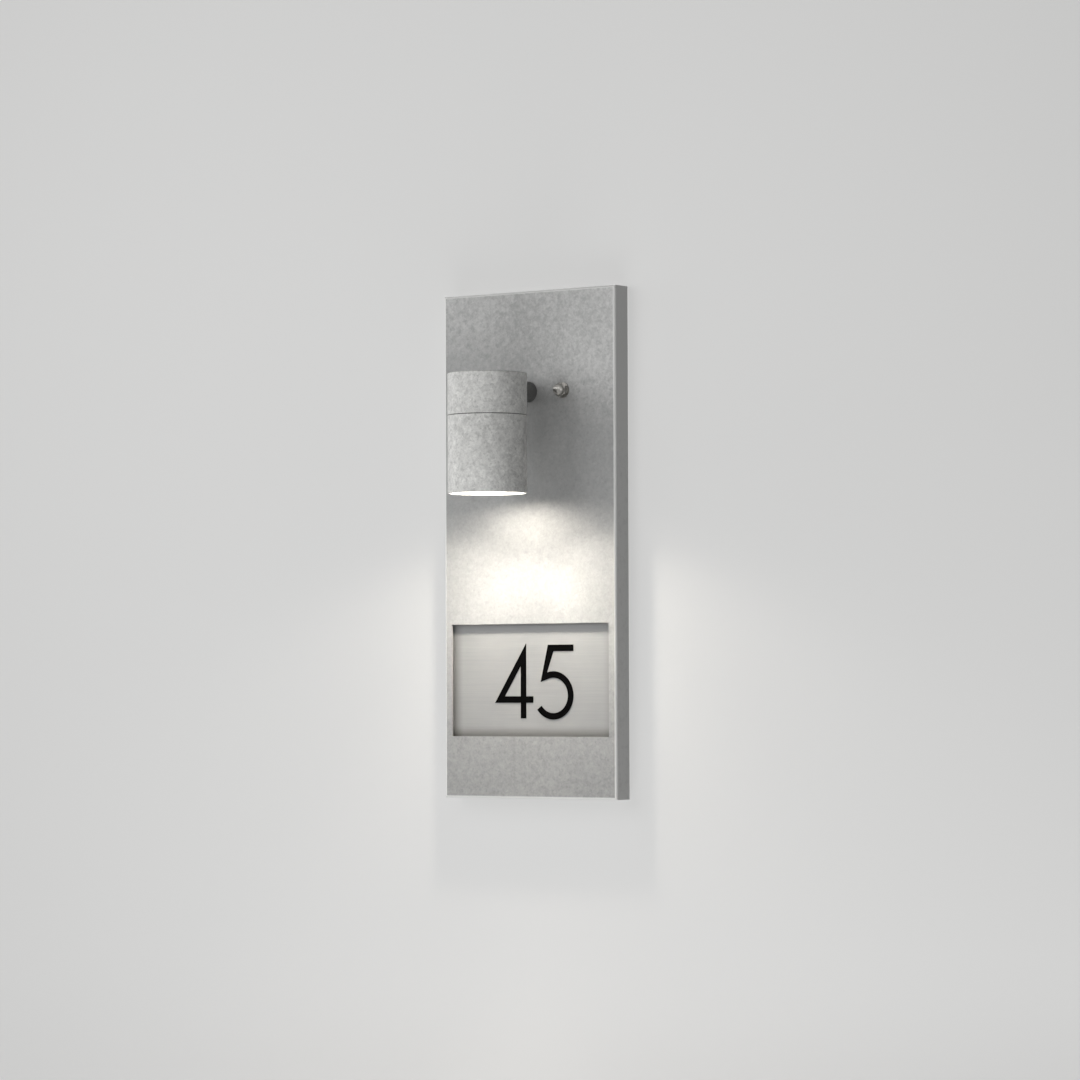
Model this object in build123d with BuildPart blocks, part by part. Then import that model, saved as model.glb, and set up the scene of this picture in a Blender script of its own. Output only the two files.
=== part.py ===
"""House number light: a folded steel plate on a wall bracket, a downlight on an arm and a number window."""

import math
import os

from build123d import *

os.makedirs("parts", exist_ok=True)

# Frame: +Z up, the front faces -Y, the wall is the plane Y = 0.
# The origin is on the wall, level with the arm, midway between the bracket's two slots.
# A depth is a distance from the wall towards the viewer.

# Clearances shared by the fits
slide_fit = 0.1
hole_fit = 0.2
curve_gap = 0.05

# Shared by the nuts and studs
hex_sides = 6
hex_corner_up = 30
thread_chamfer = 0.4

# Front plate, a sheet folded into a tray
plate_width = 160.0
plate_height = 390.0
plate_depth = 17.5
plate_sheet = 1.5
plate_bend = 2.0
plate_rise = 78.0
corner_gap = 0.4

# Number window and the panel behind it
window_side_margin = 6.75
window_height = 86.5
window_margin = 47.5
panel_sheet = 1.5
panel_gap = 2.5
panel_side_lap = 3.0
panel_end_lap = 10.0
panel_corner = 2.0
panel_stud_diameter = 3.0
panel_stud_inset = 8.0
panel_stud_spare = 1.5
spacer_diameter = 7.0
panel_nut_flats = 5.5
panel_nut_height = 3.0
panel_nut_flange = 8.0
panel_nut_flange_thick = 0.8

# Stick-on numerals, measured from the panel's middle
numeral_height = 57.5
numeral_stroke = 5.0
numeral_thick = 0.4
numeral_drop = 0.6
four_left = -34.8
four_stem_right = -5.6
four_right = 1.0
four_bar_rise = 12.0
five_bowl_x = 19.7
five_bowl_rise = 17.6
five_bowl_radius = 18.5
five_bar_left = 14.8
five_bar_right = 38.3
five_bar_drop = 1.1
five_tip_x = 8.0
five_tip_rise = 27.9
five_mouth_angle = 216.0

# Wall bracket and the studs that carry the plate
bracket_length = 126.0
bracket_height = 26.0
bracket_sheet = 2.0
bracket_corner = 4.0
bracket_cable_hole = 22.0
slot_spacing = 96.0
slot_length = 14.0
slot_width = 4.5
stud_spacing = 64.0
stud_diameter = 6.0
stud_head_diameter = 9.0
stud_head_thick = 0.9
cap_nut_washer_diameter = 12.0
cap_nut_washer_thick = 1.2
cap_nut_flats = 10.0
cap_nut_hex_height = 4.0
cap_nut_chamfer = 0.8
cap_nut_height = 8.8
cap_nut_dome_diameter = 9.4
cap_nut_bore_depth = 6.3
stud_end_gap = 0.5

# Arm and the hollow nipple that clamps it
arm_diameter = 16.0
arm_wall = 1.5
nipple_diameter = 10.0
nipple_bore = 7.0
nipple_end = 1.5
arm_nut_flats = 14.0
arm_nut_thick = 4.0
tooth_washer_diameter = 17.0
tooth_washer_thick = 1.0
tooth_depth = 1.6
tooth_count = 12
saddle_diameter = 18.0
saddle_thick = 3.0

# Lamp head
lamp_reach = 54.5
lamp_diameter = 60.3
lamp_wall = 1.5
cap_rise = 11.0
cap_height = 31.7
cap_edge = 1.0
seam_gap = 0.6
shade_length = 58.9
shade_edge = 0.3

# Ring that joins cap and shade
ring_wall = 3.0
ring_in_cap = 8.0
ring_in_shade = 14.0
seal_section = 2.0
seal_drop = 11.0
grub_diameter = 4.0
grub_length = 4.0
grub_drop = 5.5
grub_sunk = 0.4
grub_socket_flats = 2.0
grub_socket_depth = 1.8

# Front glass and its ring
mouth_depth = 5.0
lens_ring_wall = 1.0
lens_ring_lip = 3.5
lens_ring_lip_thick = 1.5
lens_ring_height = 5.5
gasket_thick = 1.0
glass_thick = 3.0

# Reflector lamp
lamp_gap = 3.0
bulb_diameter = 50.0
bulb_length = 47.0
bulb_rim_height = 4.0
bulb_lens_diameter = 42.0
bulb_lens_depth = 1.0
bulb_shoulder_diameter = 31.0
bulb_shoulder_length = 36.0
bulb_base_diameter = 28.0
bulb_base_length = 9.0
pin_spacing = 10.0
pin_stem_diameter = 3.0
pin_stem_length = 4.5
pin_head_diameter = 5.0
pin_head_length = 2.5

# Lampholder and its bracket
holder_length = 34.0
holder_width = 18.0
holder_height = 16.0
holder_corner = 6.0
holder_pin_depth = 9.0
holder_pin_hole = 6.0
holder_screw_spacing = 24.0
holder_screw_diameter = 3.0
holder_screw_head = 5.6
holder_screw_head_height = 2.2
holder_screw_sunk = 4.0
holder_sheet = 1.2
holder_strip = 10.0
holder_foot = 6.0
holder_bend = 1.6

# Connector strip
pole_pitch = 10.0
pole_count = 3
block_drop = 40.0
block_end = 6.0
block_width = 17.0
block_depth = 10.0
block_edge = 1.0
insert_diameter = 5.4
insert_bore = 3.2
insert_length = 13.0
insert_rise = 5.0
clamp_screw_diameter = 2.8
clamp_screw_spacing = 8.0
clamp_screw_sunk = 0.5
clamp_screw_slot = 0.6
terminal_stud_diameter = 3.0
terminal_nut_flats = 5.5
terminal_nut_thick = 2.4
terminal_stud_spare = 0.8

# Earth point
earth_x = 26.0
earth_drop = 24.0
earth_stud_diameter = 4.0
earth_stud_length = 8.5
earth_nut_flats = 7.0
earth_nut_thick = 3.2
lug_diameter = 8.5
lug_sheet = 0.8
lug_tab = 4.0
lug_barrel_diameter = 3.4
lug_barrel_length = 6.0
lug_barrel_start = 5.4

# Inner leads
lead_diameter = 1.8
lead_entry = 6.0
holder_lead_offset = 7.0
lead_rise = 1.6
lead_spread = 1.7
lead_wall_gap = 3.5
lead_turn_drop = 17.0
lead_join_rise = 5.0
lead_holder_radius = 5.0
lead_neck_radius = 20.0
lead_back_radius = 4.2
lead_fan_radius = 18.0
lead_join_radius = 15.0
earth_lead_run = 3.5
earth_lead_radius = 25.0
earth_lead_turn = 5.0

# Places worked out from the sizes
wall = Plane.XZ
plate_bottom = plate_rise - plate_height
plate_middle = plate_rise - plate_height / 2
plate_inner = plate_depth - plate_sheet
window_width = plate_width - 2 * window_side_margin
window_middle = plate_bottom + window_margin + window_height / 2
panel_face = plate_inner - panel_gap
panel_back = panel_face - panel_sheet
panel_width = window_width + 2 * panel_side_lap
panel_height = window_height + 2 * panel_end_lap
panel_stud_x = panel_width - 2 * panel_stud_inset
panel_stud_z = window_height + panel_end_lap
numeral_base = window_middle - numeral_height / 2 - numeral_drop
stud_tip = plate_depth + cap_nut_washer_thick + cap_nut_bore_depth - stud_end_gap
lamp_depth = plate_depth + lamp_reach
lamp_radius = lamp_diameter / 2
lamp_inner = lamp_radius - lamp_wall
lamp_plane = wall.offset(lamp_depth)
lamp_axis = Axis((0, -lamp_depth, 0), (0, 0, 1))
cap_top = cap_rise
cap_base = cap_top - cap_height
roof = cap_top - lamp_wall
shade_top = cap_base - seam_gap
rim = shade_top - shade_length
saddle_back = lamp_depth - lamp_inner
saddle_flat = saddle_back + saddle_thick
nipple_front = saddle_flat + arm_nut_thick + nipple_end
nipple_rear = plate_inner - tooth_washer_thick - arm_nut_thick - nipple_end
ring_outer = lamp_inner - slide_fit
ring_inner = ring_outer - ring_wall
seal_level = cap_base - seal_drop
seal_radius = lamp_inner - curve_gap - seal_section / 2
grub_level = cap_base - grub_drop
lens_seat = rim + mouth_depth
gasket_base = lens_seat + lens_ring_lip_thick
glass_base = gasket_base + gasket_thick
glass_top = glass_base + glass_thick
lens_ring_outer = lamp_inner - slide_fit
glass_radius = lens_ring_outer - lens_ring_wall - slide_fit
bulb_face = glass_top + lamp_gap
bulb_seat = bulb_face + bulb_length
holder_top = bulb_seat + holder_height
block_face = plate_inner - block_depth
insert_depth = plate_inner - insert_rise
block_middle = -block_drop - block_width / 2

# Front plate: one folded sheet with a window, the arm hole and two stud holes
with BuildPart() as front_plate:
    with BuildSketch(wall):
        with Locations((0, plate_middle)):
            Rectangle(plate_width, plate_height)
    extrude(amount=plate_depth)
    fillet(front_plate.faces().sort_by(Axis.Y)[0].edges(), radius=plate_bend)
    with BuildSketch(wall):
        with Locations((0, plate_middle)):
            Rectangle(plate_width - 2 * plate_sheet, plate_height - 2 * plate_sheet)
    extrude(amount=plate_inner, mode=Mode.SUBTRACT)
    inner_face = front_plate.faces().filter_by(Plane.XZ).sort_by(Axis.Y)[1]
    fillet(inner_face.edges(), radius=plate_bend - plate_sheet)
    with BuildSketch(wall.offset(plate_depth)):
        with Locations((0, window_middle)):
            Rectangle(window_width, window_height)
        Circle(nipple_diameter / 2 + hole_fit)
        with GridLocations(stud_spacing, 0, 2, 1):
            Circle(stud_diameter / 2 + hole_fit)
    extrude(amount=-2 * plate_sheet, mode=Mode.SUBTRACT)
    # The side folds lap the ends of the top and bottom folds, with an open seam up to the bend
    with BuildSketch(wall):
        with Locations((0, plate_middle)):
            with GridLocations(
                plate_width - 2 * plate_sheet - corner_gap, plate_height - plate_sheet, 2, 2
            ):
                Rectangle(corner_gap, plate_sheet)
    extrude(amount=plate_depth - plate_bend, mode=Mode.SUBTRACT)
front_plate.part.label = "front_plate"
export_step(front_plate.part, "parts/front_plate.step")

# Number panel: flat sheet with a hole at each corner for the weld studs
with BuildPart() as number_panel:
    with BuildSketch(wall.offset(panel_back)):
        with Locations((0, window_middle)):
            RectangleRounded(panel_width, panel_height, panel_corner)
            with GridLocations(panel_stud_x, panel_stud_z, 2, 2):
                Circle(panel_stud_diameter / 2 + hole_fit, mode=Mode.SUBTRACT)
    extrude(amount=panel_sheet)
number_panel.part.label = "number_panel"
export_step(number_panel.part, "parts/number_panel.step")

# Numeral four: pointed apex, crossbar and stem, with a triangular counter
four_apex = (four_stem_right, numeral_base + numeral_height)
four_bar_low = numeral_base + four_bar_rise
four_bar_high = four_bar_low + numeral_stroke
four_stem_left = four_stem_right - numeral_stroke
four_slope = (four_stem_right - four_left) / (numeral_height - four_bar_rise)
four_side = numeral_stroke * math.hypot(1, four_slope)
four_counter_left = four_left + four_slope * numeral_stroke + four_side
four_counter_top = four_bar_low + (four_stem_left - four_side - four_left) / four_slope
with BuildPart() as numeral_four:
    with BuildSketch(wall.offset(panel_face)):
        with BuildLine():
            Polyline(
                four_apex,
                (four_stem_right, four_bar_high),
                (four_right, four_bar_high),
                (four_right, four_bar_low),
                (four_stem_right, four_bar_low),
                (four_stem_right, numeral_base),
                (four_stem_left, numeral_base),
                (four_stem_left, four_bar_low),
                (four_left, four_bar_low),
                close=True,
            )
        make_face()
        with BuildLine():
            Polyline(
                (four_counter_left, four_bar_high),
                (four_stem_left, four_bar_high),
                (four_stem_left, four_counter_top),
                close=True,
            )
        make_face(mode=Mode.SUBTRACT)
    extrude(amount=numeral_thick)
numeral_four.part.label = "numeral_four"
export_step(numeral_four.part, "parts/numeral_four.step")

# Numeral five: a bar, a slanted stroke and a round bowl that leaves the stroke along a tangent
bowl_centre = Vector(five_bowl_x, numeral_base + five_bowl_rise)
bowl_inner_radius = five_bowl_radius - numeral_stroke
five_tip = Vector(five_tip_x, numeral_base + five_tip_rise)
five_bar_top = numeral_base + numeral_height - five_bar_drop
tip_offset = five_tip - bowl_centre
tip_angle = math.degrees(math.atan2(tip_offset.Y, tip_offset.X))
bowl_angle = tip_angle - math.degrees(math.acos(bowl_inner_radius / tip_offset.length))
bowl_sweep = 360 - five_mouth_angle + bowl_angle
bowl_direction = Vector(1, 0).rotate(Axis.Z, bowl_angle)
mouth_direction = Vector(1, 0).rotate(Axis.Z, five_mouth_angle)
with BuildPart() as numeral_five:
    with BuildSketch(wall.offset(panel_face)):
        with BuildLine():
            Polyline(
                bowl_centre + bowl_direction * five_bowl_radius,
                (five_bar_left + numeral_stroke, five_bar_top - numeral_stroke),
                (five_bar_right, five_bar_top - numeral_stroke),
                (five_bar_right, five_bar_top),
                (five_bar_left, five_bar_top),
                five_tip,
                bowl_centre + bowl_direction * bowl_inner_radius,
            )
            CenterArc(bowl_centre, bowl_inner_radius, five_mouth_angle, bowl_sweep)
            Line(
                bowl_centre + mouth_direction * bowl_inner_radius,
                bowl_centre + mouth_direction * five_bowl_radius,
            )
            CenterArc(bowl_centre, five_bowl_radius, five_mouth_angle, bowl_sweep)
        make_face()
    extrude(amount=numeral_thick)
numeral_five.part.label = "numeral_five"
export_step(numeral_five.part, "parts/numeral_five.step")

# Panel studs: four studs welded to the back of the plate
panel_stud_tip = panel_back - panel_nut_height - panel_stud_spare
with BuildPart() as panel_studs:
    with BuildSketch(wall.offset(plate_inner)):
        with Locations((0, window_middle)):
            with GridLocations(panel_stud_x, panel_stud_z, 2, 2):
                Circle(panel_stud_diameter / 2)
    extrude(amount=panel_stud_tip - plate_inner)
    chamfer(panel_studs.faces().group_by(Axis.Y)[-1].edges(), length=thread_chamfer)
panel_studs.part.label = "panel_studs"
export_step(panel_studs.part, "parts/panel_studs.step")

# Panel spacers: plain rings between plate and panel
with BuildPart() as panel_spacers:
    with BuildSketch(wall.offset(panel_face)):
        with Locations((0, window_middle)):
            with GridLocations(panel_stud_x, panel_stud_z, 2, 2):
                Circle(spacer_diameter / 2)
                Circle(panel_stud_diameter / 2 + slide_fit, mode=Mode.SUBTRACT)
    extrude(amount=panel_gap)
panel_spacers.part.label = "panel_spacers"
export_step(panel_spacers.part, "parts/panel_spacers.step")

# Panel nuts: flange nuts behind the panel
with BuildPart() as panel_nuts:
    with BuildSketch(wall.offset(panel_back)):
        with Locations((0, window_middle)):
            with GridLocations(panel_stud_x, panel_stud_z, 2, 2):
                Circle(panel_nut_flange / 2)
    extrude(amount=-panel_nut_flange_thick)
    with BuildSketch(wall.offset(panel_back)):
        with Locations((0, window_middle)):
            with GridLocations(panel_stud_x, panel_stud_z, 2, 2):
                RegularPolygon(panel_nut_flats / 2, hex_sides, major_radius=False)
    extrude(amount=-panel_nut_height)
    with BuildSketch(wall.offset(panel_back)):
        with Locations((0, window_middle)):
            with GridLocations(panel_stud_x, panel_stud_z, 2, 2):
                Circle(panel_stud_diameter / 2 + slide_fit)
    extrude(amount=-panel_nut_height, mode=Mode.SUBTRACT)
panel_nuts.part.label = "panel_nuts"
export_step(panel_nuts.part, "parts/panel_nuts.step")

# Wall bracket: steel strip with two screw slots, a cable hole and two stud holes
with BuildPart() as wall_bracket:
    with BuildSketch(wall):
        RectangleRounded(bracket_length, bracket_height, bracket_corner)
        Circle(bracket_cable_hole / 2, mode=Mode.SUBTRACT)
        with GridLocations(slot_spacing, 0, 2, 1):
            SlotOverall(slot_length, slot_width, mode=Mode.SUBTRACT)
        with GridLocations(stud_spacing, 0, 2, 1):
            Circle(stud_diameter / 2 + slide_fit, mode=Mode.SUBTRACT)
    extrude(amount=bracket_sheet)
    with BuildSketch(wall):
        with GridLocations(stud_spacing, 0, 2, 1):
            Circle(stud_head_diameter / 2 + slide_fit)
    extrude(amount=stud_head_thick, mode=Mode.SUBTRACT)
wall_bracket.part.label = "wall_bracket"
export_step(wall_bracket.part, "parts/wall_bracket.step")

# Bracket studs: flush-headed studs pressed into the bracket from behind
with BuildPart() as bracket_studs:
    with BuildSketch(wall):
        with GridLocations(stud_spacing, 0, 2, 1):
            Circle(stud_head_diameter / 2)
    extrude(amount=stud_head_thick)
    with BuildSketch(wall):
        with GridLocations(stud_spacing, 0, 2, 1):
            Circle(stud_diameter / 2)
    extrude(amount=stud_tip)
    chamfer(bracket_studs.faces().group_by(Axis.Y)[0].edges(), length=thread_chamfer)
bracket_studs.part.label = "bracket_studs"
export_step(bracket_studs.part, "parts/bracket_studs.step")

# Cap nut washers: flat rings under the cap nuts
with BuildPart() as cap_nut_washers:
    with BuildSketch(wall.offset(plate_depth)):
        with GridLocations(stud_spacing, 0, 2, 1):
            Circle(cap_nut_washer_diameter / 2)
            Circle(stud_diameter / 2 + hole_fit, mode=Mode.SUBTRACT)
    extrude(amount=cap_nut_washer_thick)
cap_nut_washers.part.label = "cap_nut_washers"
export_step(cap_nut_washers.part, "parts/cap_nut_washers.step")

# Cap nut blanks: the chamfered rounds that the hexagons are turned from
cap_nut_seat = plate_depth + cap_nut_washer_thick
cap_nut_side = cap_nut_height - cap_nut_dome_diameter / 2
cap_nut_corner = cap_nut_flats / 2 / math.cos(math.radians(hex_corner_up))
with BuildPart() as cap_nut_blanks:
    with BuildSketch(wall.offset(cap_nut_seat)):
        with GridLocations(stud_spacing, 0, 2, 1):
            Circle(cap_nut_corner)
    extrude(amount=cap_nut_hex_height)
    chamfer(cap_nut_blanks.edges().filter_by(GeomType.CIRCLE), length=cap_nut_chamfer)

# Cap nuts: hexagon with a domed, blind end
with BuildPart() as cap_nuts:
    with BuildSketch(wall.offset(cap_nut_seat)):
        with GridLocations(stud_spacing, 0, 2, 1):
            RegularPolygon(cap_nut_flats / 2, hex_sides, major_radius=False, rotation=hex_corner_up)
    extrude(amount=cap_nut_hex_height)
    add(cap_nut_blanks.part, mode=Mode.INTERSECT)
    with BuildSketch(wall.offset(cap_nut_seat)):
        with GridLocations(stud_spacing, 0, 2, 1):
            Circle(cap_nut_dome_diameter / 2)
    extrude(amount=cap_nut_side)
    with Locations(wall.offset(cap_nut_seat + cap_nut_side)):
        with GridLocations(stud_spacing, 0, 2, 1):
            Sphere(cap_nut_dome_diameter / 2, arc_size1=0, align=(Align.CENTER, Align.CENTER, Align.MIN))
    with BuildSketch(wall.offset(cap_nut_seat)):
        with GridLocations(stud_spacing, 0, 2, 1):
            Circle(stud_diameter / 2 + slide_fit)
    extrude(amount=cap_nut_bore_depth, mode=Mode.SUBTRACT)
cap_nuts.part.label = "cap_nuts"
export_step(cap_nuts.part, "parts/cap_nuts.step")

# Arm tube: its front end is coped to the round of the lamp cap
with BuildPart() as arm_tube:
    with BuildSketch(wall.offset(plate_depth)):
        Circle(arm_diameter / 2)
        Circle(arm_diameter / 2 - arm_wall, mode=Mode.SUBTRACT)
    extrude(amount=lamp_reach)
    with BuildSketch(Plane.XY.offset(-arm_diameter)):
        with Locations((0, -lamp_depth)):
            Circle(lamp_radius + curve_gap)
    extrude(amount=2 * arm_diameter, mode=Mode.SUBTRACT)
arm_tube.part.label = "arm_tube"
export_step(arm_tube.part, "parts/arm_tube.step")

# Arm nipple: hollow threaded tube through the plate, the arm and the wall of the lamp cap
with BuildPart() as arm_nipple:
    with BuildSketch(wall.offset(nipple_rear)):
        Circle(nipple_diameter / 2)
        Circle(nipple_bore / 2, mode=Mode.SUBTRACT)
    extrude(amount=nipple_front - nipple_rear)
arm_nipple.part.label = "arm_nipple"
export_step(arm_nipple.part, "parts/arm_nipple.step")

# Tooth washer: bites into the plate under the rear nut
with BuildPart() as tooth_washer:
    with BuildSketch(wall.offset(plate_inner)):
        Circle(tooth_washer_diameter / 2)
        Circle(nipple_diameter / 2 + hole_fit, mode=Mode.SUBTRACT)
        with PolarLocations(tooth_washer_diameter / 2, tooth_count):
            Circle(tooth_depth / 2, mode=Mode.SUBTRACT)
    extrude(amount=-tooth_washer_thick)
tooth_washer.part.label = "tooth_washer"
export_step(tooth_washer.part, "parts/tooth_washer.step")

# Rear arm nut: thin hexagon nut behind the plate
with BuildPart() as rear_arm_nut:
    with BuildSketch(wall.offset(plate_inner - tooth_washer_thick)):
        RegularPolygon(arm_nut_flats / 2, hex_sides, major_radius=False)
        Circle(nipple_diameter / 2 + slide_fit, mode=Mode.SUBTRACT)
    extrude(amount=-arm_nut_thick)
rear_arm_nut.part.label = "rear_arm_nut"
export_step(rear_arm_nut.part, "parts/rear_arm_nut.step")

# Saddle washer: flat for the nut on one side, rounded to the cap's inner wall on the other
with BuildPart() as saddle_washer:
    with BuildSketch(wall.offset(saddle_flat)):
        Circle(saddle_diameter / 2)
        Circle(nipple_diameter / 2 + hole_fit, mode=Mode.SUBTRACT)
    extrude(amount=-saddle_diameter)
    with BuildSketch(Plane.XY.offset(-saddle_diameter)):
        with Locations((0, -lamp_depth)):
            Circle(lamp_inner - curve_gap)
    extrude(amount=2 * saddle_diameter, mode=Mode.INTERSECT)
saddle_washer.part.label = "saddle_washer"
export_step(saddle_washer.part, "parts/saddle_washer.step")

# Front arm nut: the same thin nut, inside the lamp cap
with BuildPart() as front_arm_nut:
    with BuildSketch(wall.offset(saddle_flat)):
        RegularPolygon(arm_nut_flats / 2, hex_sides, major_radius=False)
        Circle(nipple_diameter / 2 + slide_fit, mode=Mode.SUBTRACT)
    extrude(amount=arm_nut_thick)
front_arm_nut.part.label = "front_arm_nut"
export_step(front_arm_nut.part, "parts/front_arm_nut.step")

# Lamp cap: drawn cup, closed at the top, with the nipple's hole at the back
with BuildPart() as lamp_cap:
    with BuildSketch(Plane.XY.offset(cap_base)):
        with Locations((0, -lamp_depth)):
            Circle(lamp_radius)
    extrude(amount=cap_height)
    fillet(lamp_cap.faces().sort_by(Axis.Z)[-1].edges(), radius=cap_edge)
    with BuildSketch(Plane.XY.offset(cap_base)):
        with Locations((0, -lamp_depth)):
            Circle(lamp_inner)
    extrude(amount=cap_height - lamp_wall, mode=Mode.SUBTRACT)
    with BuildSketch(lamp_plane):
        Circle(nipple_diameter / 2 + hole_fit)
    extrude(amount=-lamp_diameter, mode=Mode.SUBTRACT)
lamp_cap.part.label = "lamp_cap"
export_step(lamp_cap.part, "parts/lamp_cap.step")

# Joint ring: pressed into the cap, with a groove for the seal and a hole for the grub screw
with BuildPart() as joint_ring:
    with BuildSketch(Plane.XY.offset(cap_base + ring_in_cap)):
        with Locations((0, -lamp_depth)):
            Circle(ring_outer)
            Circle(ring_inner, mode=Mode.SUBTRACT)
    extrude(amount=-ring_in_cap - ring_in_shade)
    with BuildSketch(lamp_plane):
        with Locations((seal_radius, seal_level)):
            Rectangle(seal_section + 2 * slide_fit, seal_section + 2 * slide_fit)
    revolve(axis=lamp_axis, mode=Mode.SUBTRACT)
    with BuildSketch(lamp_plane):
        with Locations((0, grub_level)):
            Circle(grub_diameter / 2 + slide_fit)
    extrude(amount=-lamp_diameter, mode=Mode.SUBTRACT)
joint_ring.part.label = "joint_ring"
export_step(joint_ring.part, "parts/joint_ring.step")

# Shade seal: O-ring in the joint ring's groove
with BuildPart() as shade_seal:
    with BuildSketch(lamp_plane):
        with Locations((seal_radius, seal_level)):
            Circle(seal_section / 2)
    revolve(axis=lamp_axis)
shade_seal.part.label = "shade_seal"
export_step(shade_seal.part, "parts/shade_seal.step")

# Lamp shade: open tube under the cap
with BuildPart() as lamp_shade:
    with BuildSketch(Plane.XY.offset(rim)):
        with Locations((0, -lamp_depth)):
            Circle(lamp_radius)
            Circle(lamp_inner, mode=Mode.SUBTRACT)
    extrude(amount=shade_length)
    chamfer(lamp_shade.faces().sort_by(Axis.Z)[0].edges(), length=shade_edge)
    with BuildSketch(lamp_plane):
        with Locations((0, grub_level)):
            Circle(grub_diameter / 2 + slide_fit)
    extrude(amount=-lamp_diameter, mode=Mode.SUBTRACT)
lamp_shade.part.label = "lamp_shade"
export_step(lamp_shade.part, "parts/lamp_shade.step")

# Shade grub screw: holds the shade to the joint ring, at the back
grub_head = lamp_depth - lamp_radius + grub_sunk
with BuildPart() as shade_grub_screw:
    with BuildSketch(wall.offset(grub_head)):
        with Locations((0, grub_level)):
            Circle(grub_diameter / 2)
    extrude(amount=grub_length)
    with BuildSketch(wall.offset(grub_head)):
        with Locations((0, grub_level)):
            RegularPolygon(grub_socket_flats / 2, hex_sides, major_radius=False)
    extrude(amount=grub_socket_depth, mode=Mode.SUBTRACT)
shade_grub_screw.part.label = "shade_grub_screw"
export_step(shade_grub_screw.part, "parts/shade_grub_screw.step")

# Lens ring: L-shaped ring pressed into the shade's mouth
with BuildPart() as lens_ring:
    with BuildSketch(lamp_plane):
        with Locations((lens_ring_outer, lens_seat)):
            Rectangle(lens_ring_lip, lens_ring_lip_thick, align=(Align.MAX, Align.MIN))
            Rectangle(lens_ring_wall, lens_ring_height, align=(Align.MAX, Align.MIN))
    revolve(axis=lamp_axis)
lens_ring.part.label = "lens_ring"
export_step(lens_ring.part, "parts/lens_ring.step")

# Lens gasket: soft ring that the glass is bonded to
with BuildPart() as lens_gasket:
    with BuildSketch(Plane.XY.offset(gasket_base)):
        with Locations((0, -lamp_depth)):
            Circle(glass_radius)
            Circle(lens_ring_outer - lens_ring_lip, mode=Mode.SUBTRACT)
    extrude(amount=gasket_thick)
lens_gasket.part.label = "lens_gasket"
export_step(lens_gasket.part, "parts/lens_gasket.step")

# Lens glass: flat disc
with BuildPart() as lens_glass:
    with BuildSketch(Plane.XY.offset(glass_base)):
        with Locations((0, -lamp_depth)):
            Circle(glass_radius)
    extrude(amount=glass_thick)
lens_glass.part.label = "lens_glass"
export_step(lens_glass.part, "parts/lens_glass.step")

# Reflector lamp: sealed lamp with a flared body, a recessed lens and two bayonet pins
with BuildPart() as reflector_lamp:
    with BuildSketch(lamp_plane):
        with BuildLine():
            Polyline(
                (0, bulb_face + bulb_lens_depth),
                (bulb_lens_diameter / 2, bulb_face + bulb_lens_depth),
                (bulb_lens_diameter / 2, bulb_face),
                (bulb_diameter / 2, bulb_face),
                (bulb_diameter / 2, bulb_face + bulb_rim_height),
            )
            TangentArc(
                (bulb_diameter / 2, bulb_face + bulb_rim_height),
                (bulb_shoulder_diameter / 2, bulb_face + bulb_shoulder_length),
                tangent=(0, 1),
            )
            Polyline(
                (bulb_shoulder_diameter / 2, bulb_face + bulb_shoulder_length),
                (bulb_base_diameter / 2, bulb_seat - bulb_base_length),
                (bulb_base_diameter / 2, bulb_seat),
                (0, bulb_seat),
                (0, bulb_face + bulb_lens_depth),
            )
        make_face()
    revolve(axis=lamp_axis)
    with BuildSketch(Plane.XY.offset(bulb_seat)):
        with Locations((0, -lamp_depth)):
            with GridLocations(pin_spacing, 0, 2, 1):
                Circle(pin_stem_diameter / 2)
    extrude(amount=pin_stem_length)
    with BuildSketch(Plane.XY.offset(bulb_seat + pin_stem_length)):
        with Locations((0, -lamp_depth)):
            with GridLocations(pin_spacing, 0, 2, 1):
                Circle(pin_head_diameter / 2)
    extrude(amount=pin_head_length)
reflector_lamp.part.label = "reflector_lamp"
export_step(reflector_lamp.part, "parts/reflector_lamp.step")

# Lampholder: ceramic block with two pin sockets, two screw holes and two lead holes
with BuildPart() as lampholder:
    with BuildSketch(Plane.XY.offset(bulb_seat)):
        with Locations((0, -lamp_depth)):
            RectangleRounded(holder_length, holder_width, holder_corner)
            with GridLocations(holder_screw_spacing, 0, 2, 1):
                Circle(holder_screw_diameter / 2 + hole_fit, mode=Mode.SUBTRACT)
    extrude(amount=holder_height)
    with BuildSketch(Plane.XY.offset(bulb_seat)):
        with Locations((0, -lamp_depth)):
            with GridLocations(pin_spacing, 0, 2, 1):
                Circle(holder_pin_hole / 2)
    extrude(amount=holder_pin_depth, mode=Mode.SUBTRACT)
    with BuildSketch(Plane.XY.offset(bulb_seat)):
        with Locations((0, -lamp_depth)):
            with GridLocations(holder_screw_spacing, 0, 2, 1):
                Circle(holder_screw_head / 2 + hole_fit)
    extrude(amount=holder_screw_sunk, mode=Mode.SUBTRACT)
    with BuildSketch(Plane.XY.offset(holder_top)):
        with Locations((0, -lamp_depth - holder_lead_offset)):
            with GridLocations(pin_spacing, 0, 2, 1):
                Circle(lead_diameter / 2 + slide_fit)
    extrude(amount=-lead_entry, mode=Mode.SUBTRACT)
lampholder.part.label = "lampholder"
export_step(lampholder.part, "parts/lampholder.step")

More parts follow.
